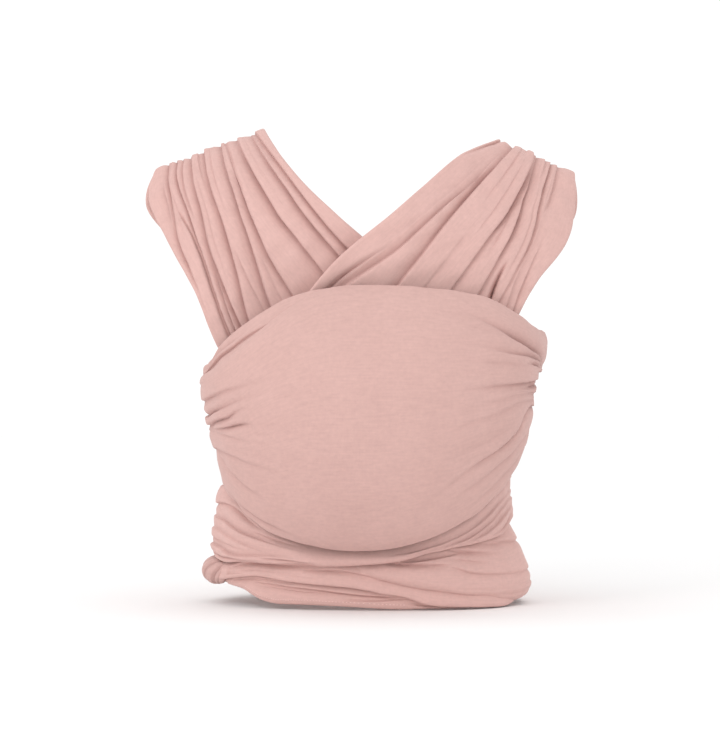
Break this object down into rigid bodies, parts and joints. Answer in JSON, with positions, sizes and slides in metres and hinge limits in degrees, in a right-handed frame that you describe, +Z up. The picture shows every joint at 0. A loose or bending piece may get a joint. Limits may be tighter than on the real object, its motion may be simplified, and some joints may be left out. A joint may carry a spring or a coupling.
{
  "type": "baby wrap sling",
  "caption": "Long stretch jersey cloth tied as a baby carrier: crossed shoulder passes, pouch panel in front, waist wraps and a knot behind",
  "frame": {"origin": "under the middle of the tied wrap's box, on the surface that its waist hem stands on", "axes": "+Z up towards the shoulders, -Y the way the wearer faces, +X to the right as seen from the front"},
  "size_m": [0.404, 0.308, 0.4516],
  "materials": {
    "jersey_panel": "matte blush pink cotton jersey, stretched smooth",
    "jersey_gathered": "matte blush pink cotton jersey, gathered in pleats",
    "jersey_waist": "matte blush pink cotton jersey, folded lengthwise",
    "jersey_knot": "matte blush pink cotton jersey, twisted and cinched",
    "jersey_tail": "matte blush pink cotton jersey, hanging loose",
    "overlock_thread": "fine matching polyester sewing thread"
  },
  "bodies": {
    "wrap": {"front_panel": "jersey_panel", "panel_top_fold": "jersey_panel", "left_side_turn": "jersey_gathered", "right_side_turn": "jersey_gathered", "pouch_cradle": "jersey_panel", "left_back_cross": "jersey_gathered", "left_shoulder_pass": "jersey_gathered", "left_chest_cross": "jersey_gathered", "right_back_cross": "jersey_gathered", "right_shoulder_pass": "jersey_gathered", "right_chest_cross": "jersey_gathered", "waist_band_lower": "jersey_waist", "waist_band_upper": "jersey_waist", "waist_band_right": "jersey_waist", "hip_twist": "jersey_knot", "back_waist_inner": "jersey_waist", "right_end_pass": "jersey_waist", "left_end_pass": "jersey_waist", "back_knot_lower": "jersey_knot", "back_knot_upper": "jersey_knot", "waist_hem_thread": "overlock_thread"},
    "right_tail_end": {"right_tail": "jersey_tail", "right_tail_thread": "overlock_thread"},
    "left_tail_end": {"left_tail": "jersey_tail", "left_tail_thread": "overlock_thread"}
  },
  "joints": [
    {"name": "right_tail_swing", "type": "hinge", "parent": "wrap", "child": "right_tail_end", "pos_m": [0.045, 0.1405, 0.134], "axis": [1, 0, 0], "range_deg": [0, 110]},
    {"name": "left_tail_swing", "type": "hinge", "parent": "wrap", "child": "left_tail_end", "pos_m": [-0.045, 0.1405, 0.134], "axis": [1, 0, 0], "range_deg": [0, 110]}
  ]
}
